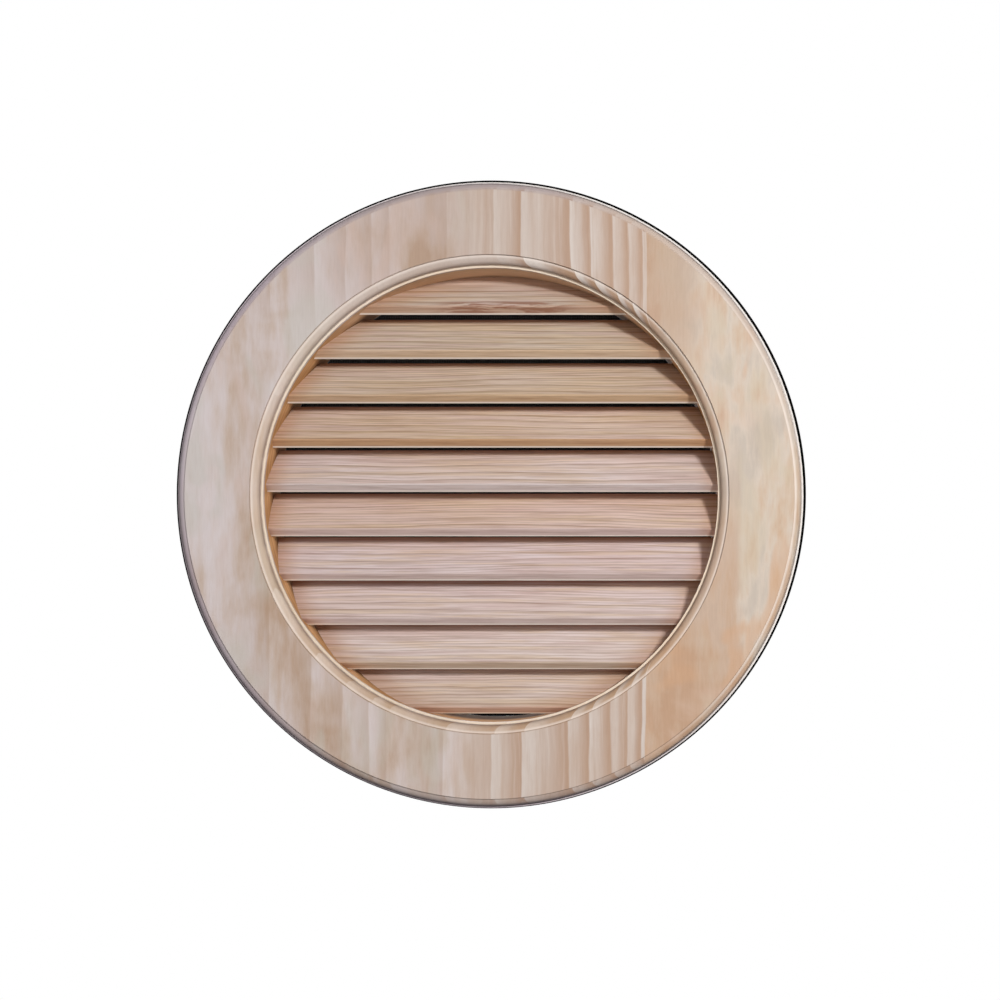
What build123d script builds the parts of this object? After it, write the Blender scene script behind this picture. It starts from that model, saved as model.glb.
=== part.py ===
from build123d import *
import math
import os

# Round wooden gable vent: a moulded pine ring, a round jamb behind it, fixed louvres and an insect screen.
# Millimetres. It stands as it does in a gable: up is +Z and the front looks along -Y. The origin is on the
# ring's axis, in the plane of the wall that the back of the ring lies on.

# Face ring, with the same routed moulding on its inner and outer edge
opening_diameter = 406.4
ring_width = 76.2
moulding_step = 2.0
moulding_radius = 7.5
moulding_drop = 1.5
moulding_ledge = 1.9
ring_edge_thickness = 8.0

# Jamb hoop, seated in a rebate in the back of the ring
hoop_reveal = 0.8
hoop_wall = 12.7
hoop_seat_depth = 4.0
hoop_seat_clearance = 0.15
hoop_lead_in = 0.8

# Louvre slats, housed at both ends in the hoop
louvre_count = 10
louvre_width = 46.0
louvre_thickness = 10.0
louvre_slope = 47.5
louvre_edge_radius = 1.0
louvre_setback = 2.0
louvre_foot_gap = 6.6
louvre_head_gap = 40.2
louvre_rear_gap = 10.35
housing_depth = 4.0
housing_clearance = 0.15

# Brads of square wire, with T heads, through the hoop into the slat ends
brad_wire = 1.3
brad_head_width = 2.8
brad_head_thickness = 0.8
brad_set = 0.4
brad_bite = 12.0
brad_clearance = 0.05

# Insect screen, two crossed layers of strands in a bound rim, with an even number of cells across
screen_cells = 14
strand_width = 3.0
strand_thickness = 0.6
screen_inset = 2.0

# Staples that hold the screen to the back edge of the hoop
staple_count = 16
staple_crown = 10.0
staple_wire = 1.0
staple_leg = 8.0
staple_clearance = 0.1

# Length by which cutters run past what they cut
overrun = 5.0

# Sizes that follow from the ones above
opening_radius = opening_diameter / 2
ring_outer_radius = opening_radius + ring_width
hoop_inner_radius = opening_radius + hoop_reveal
hoop_outer_radius = hoop_inner_radius + hoop_wall
slope_cos = math.cos(math.radians(louvre_slope))
slope_sin = math.sin(math.radians(louvre_slope))
nose_y = louvre_setback + louvre_thickness * slope_sin
hoop_depth = nose_y + louvre_width * slope_cos + louvre_rear_gap
louvre_pitch = (2 * hoop_inner_radius - louvre_foot_gap - louvre_head_gap) / (louvre_count - 1)
slat_end_radius = hoop_inner_radius + housing_depth - housing_clearance
screen_back = hoop_depth + 2 * strand_thickness
screen_rim_radius = hoop_outer_radius - screen_inset
screen_rim_middle = (hoop_inner_radius + screen_rim_radius) / 2
staple_tip = screen_back - staple_leg


def round_bar(radius, front, back):
    """Round bar on the vent's axis, from one depth to another."""
    turned = Rot(X=-90) * Cylinder(radius, back - front, align=(Align.CENTER, Align.CENTER, Align.MIN))
    return Pos(Y=front) * turned


def cross_bar(width, thickness, depth, height, start, end):
    """Flat bar across the vent, along X, with its width along the axis."""
    bar = Box(end - start, width, thickness, align=(Align.MIN, Align.CENTER, Align.CENTER))
    return Pos(start, depth, height) * bar


def both_sides(shape):
    """A shape on the right of the vent and its mirror image on the left."""
    return [shape, mirror(shape, about=Plane.YZ)]


def make_ring():
    """Face ring, turned from its half section: the moulding on both edges and the hoop's rebate behind."""
    ledge_y = -ring_edge_thickness
    round_y = ledge_y - moulding_drop
    step_y = round_y - moulding_radius
    inner_root = opening_radius + moulding_ledge
    outer_root = ring_outer_radius - moulding_ledge
    inner_brow = inner_root + moulding_radius
    outer_brow = outer_root - moulding_radius
    seat_radius = hoop_outer_radius + hoop_seat_clearance
    face_y = step_y - moulding_step
    face = Polyline((inner_brow, step_y), (inner_brow, face_y), (outer_brow, face_y), (outer_brow, step_y))
    outer_round = CenterArc((outer_brow, round_y), moulding_radius, 270, 90)
    back = Polyline(
        (outer_root, round_y), (outer_root, ledge_y), (ring_outer_radius, ledge_y), (ring_outer_radius, 0),
        (seat_radius, 0), (seat_radius, -hoop_seat_depth), (opening_radius, -hoop_seat_depth),
        (opening_radius, ledge_y), (inner_root, ledge_y), (inner_root, round_y)
    )
    inner_round = CenterArc((inner_brow, round_y), moulding_radius, 180, 90)
    section = make_face(face.edges() + outer_round.edges() + back.edges() + inner_round.edges())
    return revolve(section, axis=Axis.Y)


def make_hoop_blank():
    """Plain hoop, with a slight lead-in on the front edge that enters the ring's rebate."""
    section = Polygon(
        (hoop_inner_radius, -hoop_seat_depth), (hoop_outer_radius - hoop_lead_in, -hoop_seat_depth),
        (hoop_outer_radius, 0), (hoop_outer_radius, hoop_depth), (hoop_inner_radius, hoop_depth), align=None
    )
    return revolve(section, axis=Axis.Y)


def slat_plane(number):
    """Plane across a slat, counted from the top: x runs up its slope, y out of its upper face."""
    nose_z = hoop_inner_radius - louvre_head_gap - number * louvre_pitch
    centre_y = nose_y + (louvre_width * slope_cos - louvre_thickness * slope_sin) / 2
    centre_z = nose_z + (louvre_width * slope_sin + louvre_thickness * slope_cos) / 2
    return Plane(origin=(0, centre_y, centre_z), x_dir=(0, slope_cos, slope_sin), z_dir=(1, 0, 0))


def make_slat(number):
    """Slat with eased edges, its sloping ends scribed to the round bottom of the housings."""
    section = slat_plane(number) * RectangleRounded(louvre_width, louvre_thickness, louvre_edge_radius)
    bar = extrude(section, amount=hoop_outer_radius, both=True)
    return bar & round_bar(slat_end_radius, 0, hoop_depth)


def housing_cutter(number):
    """Housings of one slat: its section with clearance, as deep as the housing on both sides."""
    gap = 2 * housing_clearance
    section = slat_plane(number) * Rectangle(louvre_width + gap, louvre_thickness + gap)
    bar = extrude(section, amount=hoop_outer_radius, both=True)
    return bar & round_bar(hoop_inner_radius + housing_depth, 0, hoop_depth)


def brad_place(number):
    """Depth and height of a slat's brads, and how far out from the middle their heads are set."""
    centre = slat_plane(number).origin
    reach = abs(centre.Z) + brad_wire / 2
    head_x = math.sqrt(hoop_outer_radius ** 2 - reach ** 2) - brad_set
    return centre.Y, centre.Z, head_x


def brad_wall(number):
    """Length of hoop that a slat's brads pass through."""
    depth, height, head_x = brad_place(number)
    return head_x - math.sqrt(slat_end_radius ** 2 - height ** 2)


brad_length = brad_bite + max(brad_wall(number) for number in range(louvre_count))


def make_brads(number):
    """The two brads of a slat, one in each end."""
    depth, height, head_x = brad_place(number)
    shank = cross_bar(brad_wire, brad_wire, depth, height, head_x - brad_length, head_x)
    head = cross_bar(brad_head_width, brad_wire, depth, height, head_x - brad_head_thickness, head_x)
    return both_sides(shank + head)


def brad_cutters(number):
    """Holes for the two brads of a slat: the shank's, and the set hole over the head."""
    depth, height, head_x = brad_place(number)
    hole = brad_wire + 2 * brad_clearance
    head_hole = brad_head_width + 2 * brad_clearance
    seat_x = head_x - brad_head_thickness
    mouth_x = hoop_outer_radius + overrun
    shank = cross_bar(hole, hole, depth, height, head_x - brad_length - brad_clearance, head_x)
    head = cross_bar(head_hole, hole, depth, height, seat_x, mouth_x)
    return both_sides(shank + head)


def staple_legs(wire, back, tip):
    """The two legs of a staple on the right of the hoop, from their back end forward to their tip."""
    leg_offset = (staple_crown - staple_wire) / 2
    leg = Box(wire, back - tip, wire, align=(Align.CENTER, Align.MAX, Align.CENTER))
    return [Pos(screen_rim_middle, back, side * leg_offset) * leg for side in (-1, 1)]


def make_staple():
    """Staple on the right of the hoop: a crown across the screen's rim and its legs."""
    crown = Box(staple_wire, staple_wire, staple_crown, align=(Align.CENTER, Align.MIN, Align.CENTER))
    return Pos(screen_rim_middle, screen_back, 0) * crown + staple_legs(staple_wire, screen_back, staple_tip)


def screen_slots():
    """Slots between upright strands, each as tall as the whole cells in its column, from the middle plane."""
    pitch = 2 * hoop_inner_radius / screen_cells
    slots = []
    for number in range(screen_cells):
        centre = (number + 1 / 2) * pitch - hoop_inner_radius
        edge = abs(centre) + pitch / 2
        cells = math.floor(math.sqrt(max(0, hoop_inner_radius ** 2 - edge ** 2)) / pitch)
        if cells > 0:
            slot = Box(pitch - strand_width, 2 * overrun, 2 * cells * pitch - strand_width)
            slots.append(Pos(X=centre) * slot)
    return slots


def make_screen():
    """Screen: upright strands in the front layer, level strands in the back layer, and a rim round both."""
    middle = hoop_depth + strand_thickness
    slots = screen_slots()
    front = round_bar(screen_rim_radius, hoop_depth, middle) - [Pos(Y=hoop_depth) * slot for slot in slots]
    turned = [Pos(Y=middle) * Rot(Y=90) * slot for slot in slots]
    return front + (round_bar(screen_rim_radius, middle, screen_back) - turned)


slats = [make_slat(number) for number in range(louvre_count)]
brads = [make_brads(number) for number in range(louvre_count)]
brad_holes = [brad_cutters(number) for number in range(louvre_count)]

leg_hole_wire = staple_wire + 2 * staple_clearance
leg_holes = staple_legs(leg_hole_wire, screen_back + overrun, staple_tip - staple_clearance)
staple_turns = [Rot(Y=360 * (number + 1 / 2) / staple_count) for number in range(staple_count)]
leg_cutters = [turn * hole for turn in staple_turns for hole in leg_holes]

hoop = make_hoop_blank()
hoop -= [housing_cutter(number) for number in range(louvre_count)]
hoop -= [hole for pair in brad_holes for hole in pair]
hoop -= leg_cutters

os.makedirs("parts", exist_ok=True)
export_step(make_ring(), "parts/face_ring.step")
export_step(hoop, "parts/jamb_hoop.step")
for number in range(louvre_count):
    slat = slats[number] - brad_holes[number]
    export_step(slat, f"parts/louvre_slat_{number + 1:02d}.step")
export_step(Compound([brad for pair in brads for brad in pair]), "parts/slat_brads.step")
export_step(make_screen() - leg_cutters, "parts/insect_screen.step")
export_step(Compound([turn * make_staple() for turn in staple_turns]), "parts/screen_staples.step")
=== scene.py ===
import bpy
import bmesh
import math
from mathutils import Matrix, Vector


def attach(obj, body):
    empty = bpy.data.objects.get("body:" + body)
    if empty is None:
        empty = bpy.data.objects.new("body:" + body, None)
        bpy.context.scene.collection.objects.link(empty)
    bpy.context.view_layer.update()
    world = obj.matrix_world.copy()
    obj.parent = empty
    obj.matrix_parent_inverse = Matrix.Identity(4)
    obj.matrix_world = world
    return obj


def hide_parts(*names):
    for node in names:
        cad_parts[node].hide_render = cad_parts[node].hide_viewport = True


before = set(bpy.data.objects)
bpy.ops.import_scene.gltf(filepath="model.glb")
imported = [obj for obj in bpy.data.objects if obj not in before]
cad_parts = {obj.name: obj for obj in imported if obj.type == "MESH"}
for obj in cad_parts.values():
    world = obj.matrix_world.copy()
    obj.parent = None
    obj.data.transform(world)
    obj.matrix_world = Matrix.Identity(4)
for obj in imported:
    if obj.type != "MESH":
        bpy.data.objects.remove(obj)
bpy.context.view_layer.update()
scene = bpy.context.scene
scene.view_settings.view_transform = "Standard"

# Sizes of the vent, in metres, in the frame of the part's source
FACE_Y = -0.019
OPENING_RADIUS = 0.2032
RING_RADIUS = 0.2794
MOULDING_LEDGE = 0.0019
MOULDING_ROUND = 0.0075
INNER_ROOT = OPENING_RADIUS + MOULDING_LEDGE
INNER_BROW = INNER_ROOT + MOULDING_ROUND
OUTER_ROOT = RING_RADIUS - MOULDING_LEDGE
OUTER_BROW = OUTER_ROOT - MOULDING_ROUND
HOOP_INNER = 0.2040
HOOP_DEPTH = 0.0508
HOOP_MIDDLE_RADIUS = 0.21
SLAT_SLOPE = math.radians(47.5)
SLAT_PITCH = 0.0401333
SLAT_HALF_WIDTH = 0.0230
SLAT_HALF_THICKNESS = 0.0050
SLAT_MIDDLE_Y = 0.0212250
SLAT_TOP_MIDDLE_Z = 0.1841353
SCREEN_RIM = 0.2147
SCREEN_THICKNESS = 0.0012

# Fine screen: wires each way and their radius, the ease of the bound edge, and how far wires run into it
SCREEN_WIRES = 255
SCREEN_WIRE_RADIUS = 0.00014
SCREEN_EDGE_EASE = 0.0003
SCREEN_WIRE_OVERRUN = 0.001

# Growth rings of the ring's pine: where their dark edges lie across the panel, on the middle and left boards
MIDDLE_RINGS = (0.0078, 0.0337, 0.0765, 0.0945, 0.1140, 0.1282, 0.1400)
LEFT_RINGS = (-0.238, -0.190, -0.152, -0.124, -0.100, -0.084, -0.034, 0.0078)
RING_SLANT = 1.3
GRAIN_SHIFT = 0.005
GRAIN_LEAN = -0.002

# Growth lines of the slats and the hoop, from line to line
SLAT_WIDE_LINES = 0.0086
SLAT_NARROW_LINES = 0.0033
HOOP_LINES = 0.0068

# Depth over which paint on the ring's moulding sets in, so the back stays bare
PAINT_BACK = -0.0070
PAINT_FRONT = -0.0076

# Slats from the top: pale wood, tan wood, growth lines and lower edge, in screen values; each lower edge is its own
# tone, lightened in part as painted light
SLAT_COLOURS = [
    ((231, 221, 210), (221, 205, 190), (158, 120, 96), (206, 168, 143)),
    ((223, 207, 190), (213, 192, 172), (160, 131, 104), (222, 190, 158)),
    ((226, 207, 190), (216, 193, 172), (162, 132, 104), (209, 173, 137)),
    ((231, 210, 194), (221, 196, 176), (167, 132, 100), (200, 152, 108)),
    ((235, 220, 217), (229, 208, 199), (174, 146, 128), (224, 210, 208)),
    ((233, 209, 198), (225, 197, 178), (172, 138, 114), (218, 194, 190)),
    ((235, 220, 220), (229, 208, 204), (176, 146, 132), (218, 196, 190)),
    ((237, 222, 220), (231, 212, 206), (178, 150, 134), (220, 200, 196)),
    ((237, 223, 219), (231, 213, 205), (180, 152, 136), (194, 170, 145)),
    ((232, 217, 210), (224, 205, 192), (172, 140, 120), (212, 180, 166)),
]
SLAT_SEED = 1.37

# Lamps: place, what they aim at, size, and level on the vent
LAMPS = {
    "key_lamp": ((0.80, -1.60, 0.44), (0, 0, 0), 0.26, 2.00),
    "fill_lamp": ((-0.30, -1.70, -0.80), (0, 0, 0), 0.60, 0.50),
    "back_lamp": ((-0.45, 2.4, 0.40), (0, 0.03, 0), 0.35, 1.2),
    "side_lamp": ((1.7, 1.3, 0.6), (0, 0.03, 0), 0.5, 1.4),
}
SOFT_LIGHT_FRONT = 0.31
SOFT_LIGHT_BEHIND = 0.05
SOFT_LIGHT_TURN = 0.3

# Stage: floor, dark card behind the screen, and dark edge round the rim
FLOOR_Z = -1.4
FLOOR_HALF_SIZE = 30
FLOOR_GREY = 0.3
CARD_GREY = 0.004
LOFT_CARD_GAP = 0.004
LOFT_CARD_LAP = 0.004
EDGE_PLACE = (0.0005, -0.0075, 0.0005)
EDGE_REACH_X = 0.0018
EDGE_REACH_Z = 0.0012
EDGE_BAND = 0.01

# Camera of the photograph
CAMERA_PLACE = (0.140, FACE_Y - 1.200, -0.070)
CAMERA_SENSOR = 36.0
CAMERA_LENS = 48.8
CAMERA_SHIFT = (-0.1474, 0.0733)


# ---------------------------------------------------------------- materials

def colour(red, green, blue):
    """Linear colour for a shader, from a colour in screen values of 0 to 255."""
    shares = [value / 255 for value in (red, green, blue)]
    linear = [share / 12.92 if share <= 0.04045 else ((share + 0.055) / 1.055) ** 2.4 for share in shares]
    return (*linear, 1.0)


def grey(value):
    """Grey for a shader, from its linear value."""
    return (value, value, value, 1.0)


class Finish:
    """A procedural material under way, with short calls that add nodes and join them."""

    def __init__(self, name):
        self.material = bpy.data.materials.new(name)
        self.material.use_nodes = True
        self.tree = self.material.node_tree
        self.shader = self.tree.nodes["Principled BSDF"]
        self.place = self.add("ShaderNodeTexCoord").outputs["Object"]

    def add(self, kind, **settings):
        node = self.tree.nodes.new(kind)
        for key, value in settings.items():
            setattr(node, key, value)
        return node

    def join(self, value, socket):
        if isinstance(value, bpy.types.NodeSocket):
            self.tree.links.new(value, socket)
        else:
            socket.default_value = value

    def math(self, operation, *values):
        node = self.add("ShaderNodeMath", operation=operation)
        for value, socket in zip(values, node.inputs):
            self.join(value, socket)
        return node.outputs[0]

    def chain(self, operation, values):
        result = values[0]
        for value in values[1:]:
            result = self.math(operation, result, value)
        return result

    def plus(self, *values):
        return self.chain("ADD", values)

    def times(self, *values):
        return self.chain("MULTIPLY", values)

    def most(self, *values):
        return self.chain("MAXIMUM", values)

    def minus(self, first, second):
        return self.math("SUBTRACT", first, second)

    def over(self, first, second):
        return self.math("DIVIDE", first, second)

    def reach(self, first, second):
        """Distance from an axis, from the two distances across it."""
        return self.math("SQRT", self.plus(self.times(first, first), self.times(second, second)))

    def axes(self, vector):
        node = self.add("ShaderNodeSeparateXYZ")
        self.join(vector, node.inputs[0])
        return node.outputs

    def vector(self, x, y, z):
        node = self.add("ShaderNodeCombineXYZ")
        for value, socket in zip((x, y, z), node.inputs):
            self.join(value, socket)
        return node.outputs[0]

    def mapped(self, vector, shift=(0, 0, 0), turn=(0, 0, 0), scale=(1, 1, 1)):
        node = self.add("ShaderNodeMapping")
        self.join(vector, node.inputs["Vector"])
        node.inputs["Location"].default_value = shift
        node.inputs["Rotation"].default_value = turn
        node.inputs["Scale"].default_value = scale
        return node.outputs[0]

    def noise(self, vector, shift=(0, 0, 0), scale=(1, 1, 1), detail=2.0, roughness=0.5, distortion=0.0):
        """A noise of 0 to 1, as fine along each axis as its scale is large."""
        node = self.add("ShaderNodeTexNoise")
        self.join(self.mapped(vector, shift=shift, scale=scale), node.inputs["Vector"])
        node.inputs["Scale"].default_value = 1.0
        node.inputs["Detail"].default_value = detail
        node.inputs["Roughness"].default_value = roughness
        node.inputs["Distortion"].default_value = distortion
        return node.outputs["Fac"]

    def sway(self, value, reach):
        """A noise of 0 to 1 as a shift of up to half the reach either way."""
        return self.times(self.minus(value, 0.5), reach)

    def fade(self, value, start, end, low=0.0, high=1.0):
        """A smooth step from low to high as the value goes from start to end."""
        node = self.add("ShaderNodeMapRange", interpolation_type="SMOOTHSTEP")
        self.join(value, node.inputs["Value"])
        for key, number in (("From Min", start), ("From Max", end), ("To Min", low), ("To Max", high)):
            self.join(number, node.inputs[key])
        return node.outputs["Result"]

    def ramp(self, value, stops):
        node = self.add("ShaderNodeValToRGB")
        self.join(value, node.inputs[0])
        band = node.color_ramp
        while len(band.elements) < len(stops):
            band.elements.new(1.0)
        for element, (position, shade) in zip(band.elements, stops):
            element.position = position
            element.color = shade
        return node.outputs["Color"]

    def greys(self, value, stops):
        """A ramp through greys, as a share."""
        return self.ramp(value, [(position, grey(share)) for position, share in stops])

    def blend(self, amount, first, second, kind="MIX"):
        node = self.add("ShaderNodeMix", data_type="RGBA", blend_type=kind)
        self.join(amount, node.inputs[0])
        self.join(first, node.inputs[6])
        self.join(second, node.inputs[7])
        return node.outputs[2]

    def bump(self, height, strength, distance):
        node = self.add("ShaderNodeBump")
        node.inputs["Strength"].default_value = strength
        node.inputs["Distance"].default_value = distance
        self.join(height, node.inputs["Height"])
        self.join(node.outputs[0], self.shader.inputs["Normal"])

    def set(self, **values):
        for key, value in values.items():
            self.join(value, self.shader.inputs[key.replace("_", " ")])


def growth_rings(pine, layer, edges):
    """Growth rings across a board, from their edges: pale after each edge, darkening to the next, then sharp."""
    margin = 0.001
    low, high = edges[0] - margin, edges[-1] + margin
    stops = [(low, 0.0)]
    for start, end in zip(edges, edges[1:]):
        width = end - start
        stops += [(start, 0.0), (start + 0.40 * width, 0.30), (end - 0.0022, 1.0), (end - 0.0006, 0.95)]
    stops.append((edges[-1], 0.0))
    part = pine.over(pine.minus(layer, low), high - low)
    return pine.greys(part, [((place - low) / (high - low), share) for place, share in stops])


def moulding_shade(pine, radius, stops):
    """A share by distance from the vent's axis, for the lines and edges of the moulding."""
    margin = 0.001
    low, high = OPENING_RADIUS - margin, RING_RADIUS + margin
    part = pine.over(pine.minus(radius, low), high - low)
    return pine.greys(part, [((place - low) / (high - low), share) for place, share in stops])


class RingGrain:
    """What the ring's pine is painted by: places on the ring, growth rings, and blotches of several sizes."""

    def __init__(self, pine):
        self.x, self.y, self.z = pine.axes(pine.place)
        self.radius = pine.reach(self.x, self.z)
        self.moulded = pine.fade(self.y, PAINT_BACK, PAINT_FRONT)
        self.slow = pine.noise(pine.place, scale=(5, 5, 2.2))
        quick = pine.noise(pine.place, shift=(3, 1, 7), scale=(26, 26, 12), detail=3.0)
        lean = pine.times(self.z, GRAIN_LEAN)
        self.across = pine.plus(self.x, GRAIN_SHIFT, lean, pine.sway(self.slow, 0.016), pine.sway(quick, 0.007))
        self.layer = pine.minus(self.across, pine.times(pine.minus(self.y, FACE_Y), RING_SLANT))
        self.rings = growth_rings(pine, self.layer, MIDDLE_RINGS)
        self.old_rings = growth_rings(pine, self.layer, LEFT_RINGS)
        self.patch = pine.noise(pine.place, (11, 4, 2), (20, 20, 5.5), 3.0, 0.55, 0.8)
        self.cloud = pine.noise(pine.place, (5, 2, 8), (9, 9, 7), 4.0, 0.6, 0.6)
        self.streaks = pine.noise(pine.place, (2, 9, 5), (120, 120, 22), 4.0, 0.65)
        self.hue = pine.noise(pine.place, (1, 6, 3), (16, 16, 7), 3.0, 0.6, 0.5)
        self.mottle = pine.plus(pine.times(self.patch, 0.42), pine.times(self.cloud, 0.40),
                                pine.times(self.streaks, 0.18))


def middle_board(pine, grain):
    """Middle of the panel: pale wood with bold growth rings, fine upright stripes and a light mottle."""
    rings = pine.most(pine.times(grain.rings, 0.9), pine.times(grain.old_rings, 0.55))
    base = pine.blend(rings, colour(221, 208, 199), colour(184, 149, 125))
    upright = pine.vector(grain.across, grain.y, grain.z)
    stripes = pine.noise(upright, (7, 3, 1), (170, 170, 5), 3.0, 0.6)
    base = pine.blend(pine.fade(stripes, 0.50, 0.66, 0.0, 0.26), base, colour(180, 144, 116))
    base = pine.blend(pine.fade(stripes, 0.46, 0.34, 0.0, 0.30), base, colour(230, 219, 210))
    return pine.blend(pine.fade(grain.mottle, 0.44, 0.58, 0.0, 0.35), base, colour(194, 162, 138))


def left_board(pine, grain):
    """Left of the panel: pale, cool wood with soft blotches, growth rings towards its ends, and painted shade towards
    its top.
    """
    base = pine.ramp(grain.mottle, [(0.42, colour(226, 214, 213)), (0.48, colour(220, 205, 200)),
                                    (0.54, colour(208, 187, 173)), (0.60, colour(192, 163, 141))])
    base = pine.blend(pine.fade(grain.x, -0.235, -0.120, 0.0, 0.08), base, colour(192, 168, 150))
    ends = pine.most(pine.fade(grain.z, -0.02, -0.12, 0.10, 0.36), pine.fade(grain.z, 0.12, 0.20, 0.0, 0.36))
    base = pine.blend(pine.times(grain.old_rings, ends), base, colour(172, 138, 112))
    # painted shade: the upper part of the left board is darkened
    upper = pine.times(pine.fade(grain.z, 0.12, 0.22, 0.0, 0.25), pine.fade(grain.x, -0.19, -0.10))
    base = pine.blend(upper, base, colour(182, 154, 136))
    base = pine.blend(pine.fade(grain.hue, 0.47, 0.36, 0.0, 0.40), base, colour(202, 198, 186))
    return pine.blend(pine.fade(grain.hue, 0.53, 0.64, 0.0, 0.40), base, colour(216, 190, 178))


def right_board(pine, grain):
    """Right of the panel: warm wood with a tan heart below, a grey bruise, and a brown streak by the joint."""
    base = pine.ramp(grain.mottle, [(0.43, colour(206, 192, 178)), (0.475, colour(219, 203, 187)),
                                    (0.525, colour(213, 188, 164)), (0.57, colour(199, 162, 132))])
    heart = pine.plus(grain.x, pine.sway(grain.patch, 0.05), pine.sway(grain.slow, 0.02), pine.times(grain.z, 0.03))
    heart = pine.times(pine.fade(heart, 0.2225, 0.2160), pine.fade(grain.z, 0.07, -0.06, 0.0, 0.58))
    base = pine.blend(heart, base, colour(197, 160, 132))
    bruise_x = pine.times(pine.minus(grain.x, 0.242), 70.0)
    bruise_z = pine.times(pine.minus(grain.z, 0.053), 36.0)
    bruise = pine.plus(pine.times(bruise_x, bruise_x), pine.times(bruise_z, bruise_z), pine.sway(grain.streaks, 2.0))
    base = pine.blend(pine.fade(bruise, 1.4, 0.0, 0.0, 0.30), base, colour(178, 160, 144))
    base = pine.blend(pine.fade(grain.hue, 0.52, 0.62, 0.0, 0.55), base, colour(212, 168, 132))
    base = pine.blend(pine.fade(grain.hue, 0.47, 0.38, 0.0, 0.45), base, colour(210, 194, 170))
    base = pine.blend(pine.fade(grain.cloud, 0.52, 0.62, 0.0, 0.30), base, colour(226, 200, 182))
    joint = pine.plus(grain.x, pine.sway(grain.patch, 0.06), pine.sway(grain.slow, 0.03))
    joint = pine.times(pine.fade(joint, 0.198, 0.160, 0.0, 0.60), pine.fade(grain.z, 0.08, 0.16))
    return pine.blend(joint, base, colour(192, 160, 136))


def paint_inner_round(pine, grain, base):
    """Inner quarter round: scallops where it cuts the growth rings, and painted shading by side: a warm cream tone to
    the left, darker below, a flat pale tone above.
    """
    inside = moulding_shade(pine, grain.radius, [
        (INNER_ROOT, 0.0), (INNER_ROOT + 0.0004, 1.0), (INNER_BROW - 0.0002, 1.0), (INNER_BROW + 0.0002, 0.0)])
    inside = pine.times(inside, grain.moulded)
    first_ring = pine.plus(grain.layer, pine.fade(grain.z, -0.05, 0.05, 0.0, -0.0255))
    bold = pine.times(pine.fade(first_ring, 0.0070, 0.0082), pine.fade(grain.layer, 0.1412, 0.1400))
    soft = pine.times(pine.fade(grain.layer, 0.0070, 0.0060), pine.fade(grain.z, 0.0, -0.12, 0.15, 0.75))
    scallops = pine.times(pine.most(bold, soft), inside)
    cut = pine.most(grain.rings, grain.old_rings)
    base = pine.blend(pine.times(scallops, pine.fade(cut, 0.45, 0.10, 0.0, 0.6)), base, colour(244, 234, 226))
    base = pine.blend(pine.times(scallops, pine.fade(cut, 0.15, 0.95, 0.0, 0.55)), base, colour(184, 146, 112))
    # painted shading on the inner round by side: a warm cream tone to the left, painted shade below, a flat pale tone
    # above
    painted_left_shading = pine.fade(grain.x, -0.02, -0.14, 0.0, 0.4)
    base = pine.blend(pine.times(inside, painted_left_shading), base, colour(224, 200, 174))
    below = pine.fade(grain.z, -0.10, -0.19, 0.0, 0.50)
    base = pine.blend(pine.times(inside, below), base, colour(192, 160, 130))
    above = pine.times(pine.fade(grain.z, 0.12, 0.19, 0.0, 0.7), pine.fade(grain.x, 0.04, 0.0))
    return pine.blend(pine.times(inside, above), base, colour(215, 199, 189))


def paint_inner_lines(pine, grain, base):
    """Inner edge: a painted highlight below the step, a pale ledge lightened further as painted light, and painted
    shade in the quirk and under the step.
    """
    # painted highlight: a bright line on the round just below the step
    bright = moulding_shade(pine, grain.radius, [
        (INNER_BROW - 0.0030, 0.0), (INNER_BROW - 0.0012, 0.55), (INNER_BROW - 0.0007, 0.55),
        (INNER_BROW - 0.0003, 0.0)])
    base = pine.blend(pine.times(bright, grain.moulded), base, colour(252, 240, 230))
    # the ledge's own pale colour, lightened further as painted light
    ledge = moulding_shade(pine, grain.radius, [(INNER_ROOT - 0.0002, 1.0), (INNER_ROOT, 0.0)])
    base = pine.blend(pine.times(ledge, grain.moulded, 0.75), base, colour(248, 232, 210))
    # painted shade: dark lines at the root of the round and under the step
    dark = moulding_shade(pine, grain.radius, [
        (INNER_ROOT - 0.0001, 0.0), (INNER_ROOT + 0.0002, 0.60), (INNER_ROOT + 0.0008, 0.22),
        (INNER_ROOT + 0.0022, 0.0), (INNER_BROW - 0.0006, 0.0), (INNER_BROW - 0.0002, 0.25),
        (INNER_BROW + 0.0001, 0.25), (INNER_BROW + 0.0003, 0.0)])
    return pine.blend(pine.times(dark, grain.moulded), base, colour(96, 72, 62))


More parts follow.
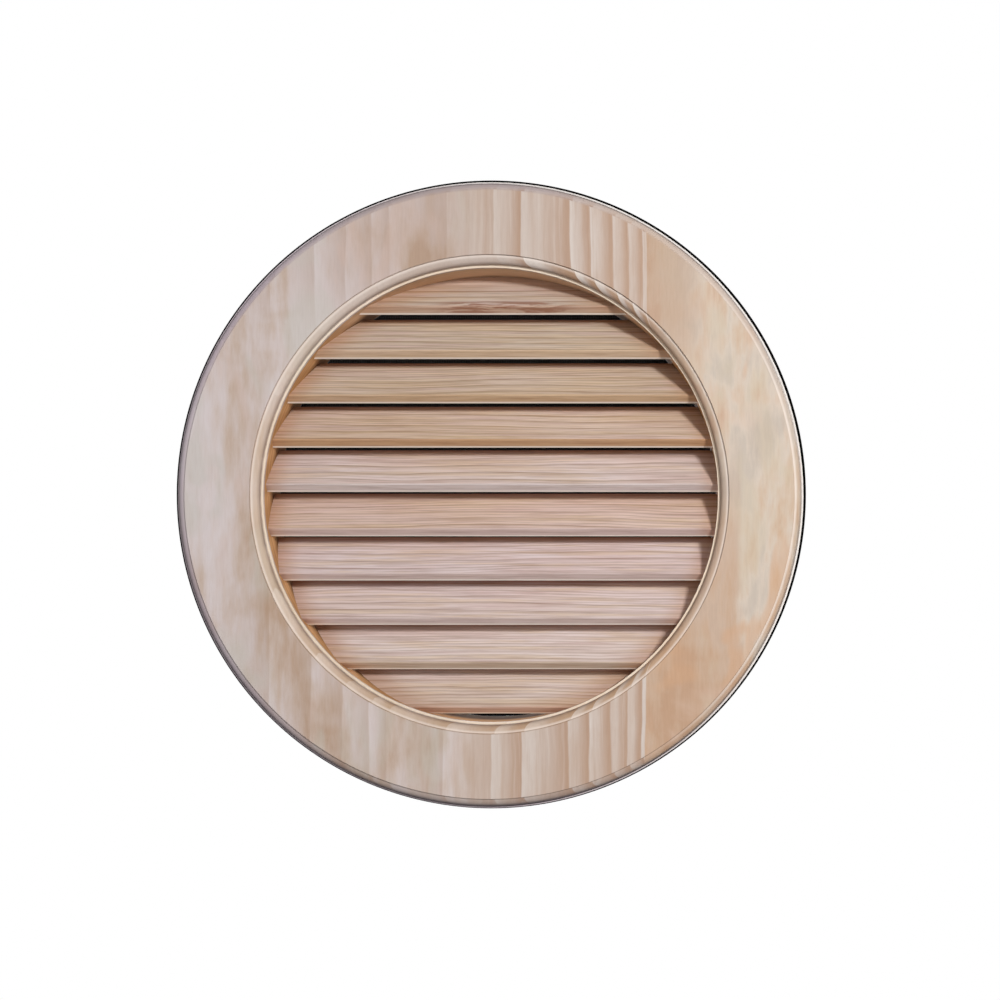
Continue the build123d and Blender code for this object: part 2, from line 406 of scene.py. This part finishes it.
def paint_outer_round(pine, grain, base):
    """Outer quarter round: a painted highlight on the right, painted shade above, a painted lilac grey of the shaded
    side to the left, and painted shade to the lower left.
    """
    # painted highlight: a bright line on the outer round, on the right
    bright = moulding_shade(pine, grain.radius, [
        (OUTER_BROW + 0.0003, 0.0), (OUTER_BROW + 0.0008, 0.6), (OUTER_BROW + 0.0018, 0.6), (OUTER_BROW + 0.0032, 0.0)])
    to_right = pine.fade(grain.x, 0.12, 0.25)
    base = pine.blend(pine.times(bright, to_right, grain.moulded), base, colour(252, 240, 230))
    outside = moulding_shade(pine, grain.radius, [
        (OUTER_BROW - 0.0012, 0.0), (OUTER_BROW + 0.0032, 1.0), (OUTER_ROOT - 0.0002, 1.0), (OUTER_ROOT + 0.0001, 0.0)])
    outside = pine.times(outside, grain.moulded)
    # painted shade: the outer round is darkened above, most towards the left
    above = pine.times(outside, pine.fade(grain.z, 0.04, 0.18, 0.0, 0.80))
    cool = pine.blend(pine.fade(grain.x, 0.02, 0.14), colour(174, 160, 162), colour(206, 188, 176))
    base = pine.blend(above, base, cool)
    # painted shading: a lilac grey tone on the shaded left side of the outer round
    painted_left_shading = pine.fade(grain.x, -0.10, -0.24, 0.0, 0.65)
    base = pine.blend(pine.times(outside, painted_left_shading), base, colour(212, 195, 207))
    # painted shade: the outer round darkens towards its root on the lower left, away from the lamp
    away = moulding_shade(pine, grain.radius, [
        (OUTER_BROW + 0.0004, 0.0), (OUTER_BROW + 0.0010, 0.20), (OUTER_ROOT - 0.0030, 0.32),
        (OUTER_ROOT - 0.0012, 0.80), (OUTER_ROOT, 0.90), (OUTER_ROOT + 0.0002, 0.0)])
    away = pine.times(away, grain.moulded, pine.fade(lower_left(pine, grain), 0.10, 0.22))
    return pine.blend(away, base, colour(92, 78, 84))


def paint_outer_lines(pine, grain, base):
    """Outer edge: painted light on the ledge, strongest to the upper right, painted shade in the quirk, and a painted
    shade line under the step.
    """
    # painted light: the outer ledge is lightest to the upper right, towards the lamp, and greyer to the lower left
    to_light = pine.plus(pine.times(grain.x, 0.80), pine.times(grain.z, 0.35))
    ledge_light_colour = pine.blend(pine.fade(to_light, -0.12, 0.20), colour(194, 180, 188), colour(254, 249, 244))
    ledge = moulding_shade(pine, grain.radius, [(OUTER_ROOT, 0.0), (OUTER_ROOT + 0.0003, 1.0)])
    base = pine.blend(pine.times(ledge, grain.moulded, 0.9), base, ledge_light_colour)
    # painted shade: a dark line in the quirk, widest and darkest to the lower left
    widening = pine.fade(lower_left(pine, grain), 0.02, 0.16, 0.0, 0.0006)
    quirk = moulding_shade(pine, pine.minus(grain.radius, widening), [
        (OUTER_ROOT - 0.0024, 0.0), (OUTER_ROOT - 0.0008, 1.0), (OUTER_ROOT + 0.0001, 1.0), (OUTER_ROOT + 0.0006, 0.0)])
    depth = pine.most(pine.fade(grain.x, 0.27, 0.12, 0.55, 0.85), pine.fade(grain.z, -0.12, -0.24, 0.0, 1.0))
    base = pine.blend(pine.times(quirk, depth, grain.moulded), base, colour(62, 46, 48))
    # painted shade: a dark line under the step, strongest below and to the left
    step = moulding_shade(pine, grain.radius, [
        (OUTER_BROW - 0.0003, 0.0), (OUTER_BROW - 0.0001, 1.0), (OUTER_BROW + 0.0003, 1.0), (OUTER_BROW + 0.0007, 0.0)])
    below = pine.most(pine.fade(grain.z, -0.06, -0.24, 0.08, 0.70), pine.fade(grain.x, -0.16, -0.26, 0.0, 0.25))
    return pine.blend(pine.times(step, below, grain.moulded), base, colour(96, 72, 62))


def lower_left(pine, grain):
    """Distance to the lower left of the vent's axis, the side that faces away from the key lamp."""
    return pine.plus(pine.times(grain.x, -0.50), pine.times(grain.z, -0.86))


def ring_finish():
    """Pine panel of the face ring: boards glued edge to edge, upright grain, slanting growth rings, painted shade
    towards the top and in the quirks, and painted light and shade on the rounds.
    """
    pine = Finish("ring_pine_boards")
    grain = RingGrain(pine)
    base = pine.blend(pine.fade(grain.across, -0.045, 0.005), left_board(pine, grain), middle_board(pine, grain))
    base = pine.blend(pine.fade(grain.across, 0.1425, 0.1435), base, right_board(pine, grain))
    near_middle = pine.fade(pine.math("ABSOLUTE", grain.x), 0.10, 0.03)
    # painted shade: darker towards the top of the panel, near its middle
    painted_crown_shade = pine.times(pine.fade(grain.z, 0.15, 0.23, 0.0, 0.22), near_middle)
    base = pine.blend(painted_crown_shade, base, colour(186, 160, 142))
    base = paint_inner_round(pine, grain, base)
    fibres = pine.noise(pine.place, scale=(520, 520, 46), detail=4.0, roughness=0.7)
    base = pine.blend(pine.fade(fibres, 0.35, 0.75, 0.0, 0.09), base, colour(170, 140, 118), "MULTIPLY")
    base = paint_inner_lines(pine, grain, base)
    base = paint_outer_round(pine, grain, base)
    base = paint_outer_lines(pine, grain, base)
    pine.set(Base_Color=base, Roughness=0.62, Specular_IOR_Level=0.3)
    pine.bump(fibres, 0.08, 0.0004)
    return pine.material


def paint_knot(pine, flat, base):
    """Brown figure along the lower edge of the top slat, a little right of its middle."""
    x, up, out = pine.axes(flat)
    figure = pine.noise(flat, (4.1, 2.2, 0), (26, 210, 210), 4.0, 0.65, 0.5)
    along = pine.fade(pine.math("ABSOLUTE", pine.minus(x, 0.012)), 0.075, 0.035)
    low = pine.fade(up, 0.0085 - SLAT_HALF_WIDTH, 0.0035 - SLAT_HALF_WIDTH)
    return pine.blend(pine.times(along, low, pine.fade(figure, 0.42, 0.58, 0.0, 0.8)), base, colour(150, 98, 74))


def slat_finish(number, pale, tan, streak, nose):
    """Pine of one louvre slat: wavy growth lines along its length, fine fibres, a painted highlight on the lower arris,
    painted shade under the next slat and at its ends, painted light on the top slat's upper part, and a nose tone
    lightened in part as painted light.
    """
    pine = Finish(f"slat_pine_{number:02d}")
    seed = SLAT_SEED * number
    middle_z = SLAT_TOP_MIDDLE_Z - SLAT_PITCH * (number - 1)
    centred = pine.mapped(pine.place, shift=(0, -SLAT_MIDDLE_Y, -middle_z))
    flat = pine.mapped(centred, turn=(-SLAT_SLOPE, 0, 0))
    x, up, out = pine.axes(flat)
    height = pine.axes(pine.place)[2]

    slow = pine.noise(flat, (seed, seed * 1.7, 0), (3.2, 10, 10))
    quick = pine.noise(flat, (seed * 3.1, 0, seed), (14, 50, 50))
    bands = pine.noise(flat, (0, seed, seed * 2.3), (6, 45, 45), 3.0, 0.55)
    blush = pine.noise(flat, (seed * 1.3, 3, 0), (8, 30, 30), 3.0, 0.55)
    tint = pine.noise(flat, (seed * 2.1, 5, 0), (7, 150, 150), 3.0, 0.6)
    fibres = pine.noise(flat, (seed, 0, 0), (20, 480, 480), 4.0, 0.65)

    layer = pine.plus(up, pine.times(out, 0.6), pine.sway(slow, 0.026), pine.sway(quick, 0.0032), seed)
    wide = pine.math("FRACT", pine.over(layer, SLAT_WIDE_LINES))
    wide = pine.greys(wide, [(0.0, 0.0), (0.55, 0.08), (0.82, 0.50), (0.90, 1.0), (0.965, 0.0)])
    narrow = pine.math("FRACT", pine.over(layer, SLAT_NARROW_LINES))
    narrow = pine.greys(narrow, [(0.0, 0.0), (0.45, 0.1), (0.78, 1.0), (0.95, 0.0)])

    blush = pine.plus(blush, pine.fade(up, 0.006, -0.018, -0.05, 0.08))
    base = pine.ramp(blush, [(0.36, pale), (0.62, tan)])
    base = pine.blend(pine.fade(tint, 0.50, 0.62, 0.0, 0.45), base, colour(226, 200, 166))
    base = pine.blend(pine.fade(tint, 0.48, 0.36, 0.0, 0.45), base, colour(224, 198, 194))
    base = pine.blend(pine.times(wide, pine.fade(bands, 0.36, 0.62, 0.30, 0.95)), base, streak)
    base = pine.blend(pine.times(narrow, pine.fade(bands, 0.64, 0.40, 0.05, 0.55)), base, streak)
    # the nose takes its own lower-edge tone, lightened in part as painted light
    at_nose = pine.fade(up, 0.0022 - SLAT_HALF_WIDTH, 0.0002 - SLAT_HALF_WIDTH, 0.0, 0.75)
    base = pine.blend(at_nose, base, nose)
    if number > 1:
        # painted shade: warm brown where the next slat's nose shades this slat's upper part
        painted_shade_under_next = pine.fade(up, SLAT_HALF_WIDTH - 0.0105, SLAT_HALF_WIDTH, 0.0, 0.85)
        base = pine.blend(painted_shade_under_next, base, colour(146, 96, 74))
    else:
        # painted light: the top slat's upper part is lightened where the ring's lip shades it
        base = pine.blend(pine.fade(up, 0.004, 0.012, 0.0, 0.85), base, colour(254, 240, 230))
    # painted shade: warm brown towards the slat's ends by the hoop
    painted_shade_at_ends = pine.fade(pine.reach(x, height), HOOP_INNER - 0.022, HOOP_INNER - 0.001, 0.0, 0.45)
    base = pine.blend(painted_shade_at_ends, base, colour(190, 140, 102))
    base = pine.blend(pine.fade(fibres, 0.40, 0.72, 0.0, 0.34), base, colour(168, 136, 112), "MULTIPLY")
    if number == 1:
        base = paint_knot(pine, flat, base)
    # painted highlight: a bright line along the lower arris of the nose
    arris = pine.minus(pine.times(up, -1.0), out)
    edge = SLAT_HALF_WIDTH + SLAT_HALF_THICKNESS
    base = pine.blend(pine.fade(arris, edge - 0.0029, edge - 0.0020, 0.0, 0.8), base, colour(253, 244, 232))
    pine.set(Base_Color=base, Roughness=0.8, Specular_IOR_Level=0.08)
    pine.bump(fibres, 0.12, 0.0004)
    return pine.material


def hoop_finish():
    """Pine strip bent round into the jamb hoop: grain running round, warm inside, paler outside, painted light on the
    inside at the top and painted shade deeper inside.
    """
    pine = Finish("hoop_pine")
    x, y, z = pine.axes(pine.place)
    radius = pine.reach(x, z)
    along = pine.times(pine.math("ARCTAN2", z, x), HOOP_MIDDLE_RADIUS)
    strip = pine.vector(along, y, radius)
    slow = pine.noise(strip, scale=(7, 30, 30))
    phase = pine.math("FRACT", pine.over(pine.plus(y, pine.sway(slow, 0.016)), HOOP_LINES))
    rings = pine.greys(phase, [(0.0, 0.0), (0.5, 0.3), (0.86, 1.0), (0.97, 0.1)])
    base = pine.blend(pine.times(rings, 0.6), colour(212, 166, 118), colour(182, 130, 86))
    fibres = pine.noise(strip, scale=(14, 700, 700), detail=3.0, roughness=0.6)
    base = pine.blend(pine.fade(fibres, 0.35, 0.75, 0.0, 0.3), base, colour(170, 128, 92), "MULTIPLY")
    outer = pine.fade(radius, HOOP_INNER + 0.0015, HOOP_INNER + 0.0030, 0.0, 0.5)
    base = pine.blend(outer, base, colour(228, 204, 178))
    inner = pine.fade(radius, HOOP_INNER + 0.0012, HOOP_INNER + 0.0004)
    # painted light: the inside of the hoop is lightened at the top
    base = pine.blend(pine.times(inner, pine.fade(z, 0.12, 0.18, 0.0, 0.6)), base, colour(226, 196, 168))
    # painted shade: the inside of the hoop darkens deeper in, except at the top
    painted_deep_shade = pine.times(pine.fade(y, 0.012, 0.030, 0.0, 0.85), pine.fade(z, 0.178, 0.168))
    base = pine.blend(pine.times(inner, painted_deep_shade), base, colour(84, 60, 44))
    pine.set(Base_Color=base, Roughness=0.85, Specular_IOR_Level=0.05)
    pine.bump(fibres, 0.12, 0.0004)
    return pine.material


def steel_finish():
    """Bright drawn wire of the brads and staples, dulled in patches."""
    steel = Finish("drawn_steel_wire")
    dull = steel.noise(steel.place, scale=(900, 900, 900), detail=3.0, roughness=0.6)
    steel.set(Base_Color=steel.ramp(dull, [(0.3, colour(176, 176, 174)), (0.7, colour(208, 208, 206))]))
    steel.set(Metallic=1.0, Roughness=steel.fade(dull, 0.3, 0.7, 0.28, 0.5))
    return steel.material


def mesh_finish():
    """Charcoal coated yarn of the insect screen."""
    yarn = Finish("charcoal_screen_yarn")
    specks = yarn.noise(yarn.place, scale=(1500, 1500, 1500))
    yarn.set(Base_Color=yarn.ramp(specks, [(0.3, colour(26, 26, 28)), (0.7, colour(44, 44, 46))]))
    yarn.set(Roughness=yarn.fade(specks, 0.3, 0.7, 0.45, 0.65))
    yarn.bump(specks, 0.1, 0.0001)
    return yarn.material


# ---------------------------------------------------------------- pieces

def mesh_object(name, bm, material):
    """An object of one mesh and one material, at the origin."""
    mesh = bpy.data.meshes.new(name)
    bm.to_mesh(mesh)
    bm.free()
    mesh.materials.append(material)
    piece = bpy.data.objects.new(name, mesh)
    scene.collection.objects.link(piece)
    return piece


def turned_ring(bm, section, steps):
    """A closed ring round the vent's axis, from the (radius, depth) corners of its section."""
    loop = [bm.verts.new((radius, depth, 0.0)) for radius, depth in section]
    edges = [bm.edges.new((loop[place - 1], loop[place])) for place in range(len(loop))]
    bmesh.ops.spin(bm, geom=loop + edges, cent=(0, 0, 0), axis=(0, 1, 0), angle=2 * math.pi,
                   steps=steps, use_merge=True)
    bmesh.ops.remove_doubles(bm, verts=bm.verts, dist=1e-7)
    bmesh.ops.recalc_face_normals(bm, faces=bm.faces)


def make_fine_screen(material):
    """Fine insect screen: upright and level wires in a flat bound edge, on the back of the hoop."""
    bm = bmesh.new()
    front = HOOP_DEPTH
    back = HOOP_DEPTH + SCREEN_THICKNESS
    ease = SCREEN_EDGE_EASE
    turned_ring(bm, [(HOOP_INNER, front), (SCREEN_RIM, front), (SCREEN_RIM, back - ease),
                     (SCREEN_RIM - ease, back), (HOOP_INNER + ease, back), (HOOP_INNER, back - ease)], 160)
    pitch = 2 * HOOP_INNER / SCREEN_WIRES
    wire = SCREEN_WIRE_RADIUS
    middle = (front + back) / 2
    for number in range(SCREEN_WIRES):
        place = (number + 0.5) * pitch - HOOP_INNER
        length = 2 * math.sqrt(HOOP_INNER ** 2 - place ** 2) + SCREEN_WIRE_OVERRUN
        upright = Matrix.Translation((place, middle - wire, 0))
        level = Matrix.Translation((0, middle + wire, place)) @ Matrix.Rotation(math.pi / 2, 4, "Y")
        for matrix in (upright, level):
            bmesh.ops.create_cone(bm, cap_ends=True, segments=6, radius1=wire, radius2=wire, depth=length,
                                  matrix=matrix)
    piece = mesh_object("fine_insect_screen", bm, material)
    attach(piece, "root")
    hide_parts("insect_screen")


# ---------------------------------------------------------------- stage

def shader_tree(name):
    """An empty material and its node tree."""
    material = bpy.data.materials.new(name)
    material.use_nodes = True
    tree = material.node_tree
    tree.nodes.clear()
    return material, tree


def seen_directly(tree):
    """Socket that is 1 for the camera, gloss and glass, and 0 for light."""
    light = tree.nodes.new("ShaderNodeLightPath")
    seen = light.outputs["Is Camera Ray"]
    for ray in ("Is Transmission Ray", "Is Glossy Ray"):
        either = tree.nodes.new("ShaderNodeMath")
        either.operation = "MAXIMUM"
        tree.links.new(seen, either.inputs[0])
        tree.links.new(light.outputs[ray], either.inputs[1])
        seen = either.outputs[0]
    return seen


def end_with_mix(tree, amount, first, second, output):
    """Ends a node tree with a mix of two shaders: the first where the amount is 0, the second where it is 1."""
    mix = tree.nodes.new("ShaderNodeMixShader")
    for source, socket in zip((amount, first.outputs[0], second.outputs[0]), mix.inputs):
        tree.links.new(source, socket)
    tree.links.new(mix.outputs[0], tree.nodes.new(output).inputs[0])


def white_to_the_eye(name):
    """Pale surface that light sees as matt and the camera, gloss and glass see as plain white."""
    material, tree = shader_tree(name)
    matt = tree.nodes.new("ShaderNodeBsdfDiffuse")
    matt.inputs["Color"].default_value = grey(FLOOR_GREY)
    white = tree.nodes.new("ShaderNodeEmission")
    end_with_mix(tree, seen_directly(tree), matt, white, "ShaderNodeOutputMaterial")
    return material


def dark_from_the_front(name):
    """Black card to a camera in front of it, and nothing at all to light or from behind."""
    material, tree = shader_tree(name)
    light = tree.nodes.new("ShaderNodeLightPath")
    side = tree.nodes.new("ShaderNodeNewGeometry")
    shown = tree.nodes.new("ShaderNodeMath")
    shown.operation = "SUBTRACT"
    shown.use_clamp = True
    tree.links.new(light.outputs["Is Camera Ray"], shown.inputs[0])
    tree.links.new(side.outputs["Backfacing"], shown.inputs[1])
    clear = tree.nodes.new("ShaderNodeBsdfTransparent")
    black = tree.nodes.new("ShaderNodeBsdfDiffuse")
    black.inputs["Color"].default_value = grey(CARD_GREY)
    end_with_mix(tree, shown.outputs[0], clear, black, "ShaderNodeOutputMaterial")
    return material


def make_stage():
    """Pale floor well below the vent, a dark card behind the screen for the unlit loft, and a dark edge at the rim."""
    upright = Matrix.Rotation(math.pi / 2, 4, "X")
    bm = bmesh.new()
    bmesh.ops.create_grid(bm, x_segments=1, y_segments=1, size=FLOOR_HALF_SIZE,
                          matrix=Matrix.Translation((0, 0, FLOOR_Z)))
    mesh_object("floor", bm, white_to_the_eye("pale_floor"))
    loft_dark = dark_from_the_front("loft_dark")
    bm = bmesh.new()
    bmesh.ops.create_circle(bm, cap_ends=True, segments=96, radius=HOOP_INNER + LOFT_CARD_LAP,
                            matrix=Matrix.Translation((0, HOOP_DEPTH + LOFT_CARD_GAP, 0)) @ upright)
    mesh_object("dark_loft_card", bm, loft_dark)
    bm = bmesh.new()
    oval = Matrix.Diagonal((RING_RADIUS + EDGE_REACH_X, 1.0, RING_RADIUS + EDGE_REACH_Z, 1.0))
    bmesh.ops.create_circle(bm, cap_ends=True, segments=256, radius=1.0,
                            matrix=Matrix.Translation(EDGE_PLACE) @ oval @ upright)
    bmesh.ops.inset_individual(bm, faces=bm.faces, thickness=EDGE_BAND)
    bmesh.ops.delete(bm, geom=[face for face in bm.faces if len(face.verts) > 4], context="FACES")
    mesh_object("dark_edge_card", bm, loft_dark)


def make_world():
    """Soft light all round, weaker behind the vent, and plain white to the camera, gloss and glass."""
    world = bpy.data.worlds.new("studio")
    scene.world = world
    world.use_nodes = True
    tree = world.node_tree
    tree.nodes.clear()
    side = tree.nodes.new("ShaderNodeTexCoord")
    split = tree.nodes.new("ShaderNodeSeparateXYZ")
    level = tree.nodes.new("ShaderNodeMapRange")
    for key, value in (("From Min", -SOFT_LIGHT_TURN), ("From Max", SOFT_LIGHT_TURN),
                       ("To Min", SOFT_LIGHT_FRONT), ("To Max", SOFT_LIGHT_BEHIND)):
        level.inputs[key].default_value = value
    soft = tree.nodes.new("ShaderNodeBackground")
    soft.inputs["Color"].default_value = grey(1.0)
    white = tree.nodes.new("ShaderNodeBackground")
    white.inputs["Color"].default_value = grey(1.0)
    tree.links.new(side.outputs["Generated"], split.inputs[0])
    tree.links.new(split.outputs["Y"], level.inputs["Value"])
    tree.links.new(level.outputs["Result"], soft.inputs["Strength"])
    end_with_mix(tree, seen_directly(tree), soft, white, "ShaderNodeOutputWorld")


def make_lamp(name, place, aim, size, level):
    """Round lamp that gives the vent a set level of light, whatever its distance."""
    lamp = bpy.data.lights.new(name, "AREA")
    lamp.shape = "DISK"
    lamp.size = size
    lamp.energy = level * math.pi * Vector(place).length_squared
    holder = bpy.data.objects.new(name, lamp)
    scene.collection.objects.link(holder)
    holder.location = place
    holder.rotation_mode = "QUATERNION"
    holder.rotation_quaternion = (Vector(aim) - Vector(place)).to_track_quat("-Z", "Y")
    holder.visible_camera = False


def make_camera():
    """Camera of the photograph: square to the vent, below and right of its axis, with the frame shifted back."""
    lens = bpy.data.cameras.new("camera")
    lens.sensor_width = CAMERA_SENSOR
    lens.lens = CAMERA_LENS
    lens.shift_x, lens.shift_y = CAMERA_SHIFT
    holder = bpy.data.objects.new("camera", lens)
    scene.collection.objects.link(holder)
    holder.location = CAMERA_PLACE
    holder.rotation_euler = (math.pi / 2, 0, 0)
    scene.camera = holder


# ---------------------------------------------------------------- dressing

def dress(node, material):
    """Gives a node of the model its finish."""
    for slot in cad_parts[node].material_slots:
        slot.material = material


steel = steel_finish()
yarn = mesh_finish()
dress("face_ring", ring_finish())
dress("jamb_hoop", hoop_finish())
for number, shades in enumerate(SLAT_COLOURS, 1):
    dress(f"louvre_slat_{number:02d}", slat_finish(number, *[colour(*shade) for shade in shades]))
dress("slat_brads", steel)
dress("screen_staples", steel)
dress("insect_screen", yarn)
make_fine_screen(yarn)
make_stage()
make_world()
for name, (place, aim, size, level) in LAMPS.items():
    make_lamp(name, place, aim, size, level)
make_camera()
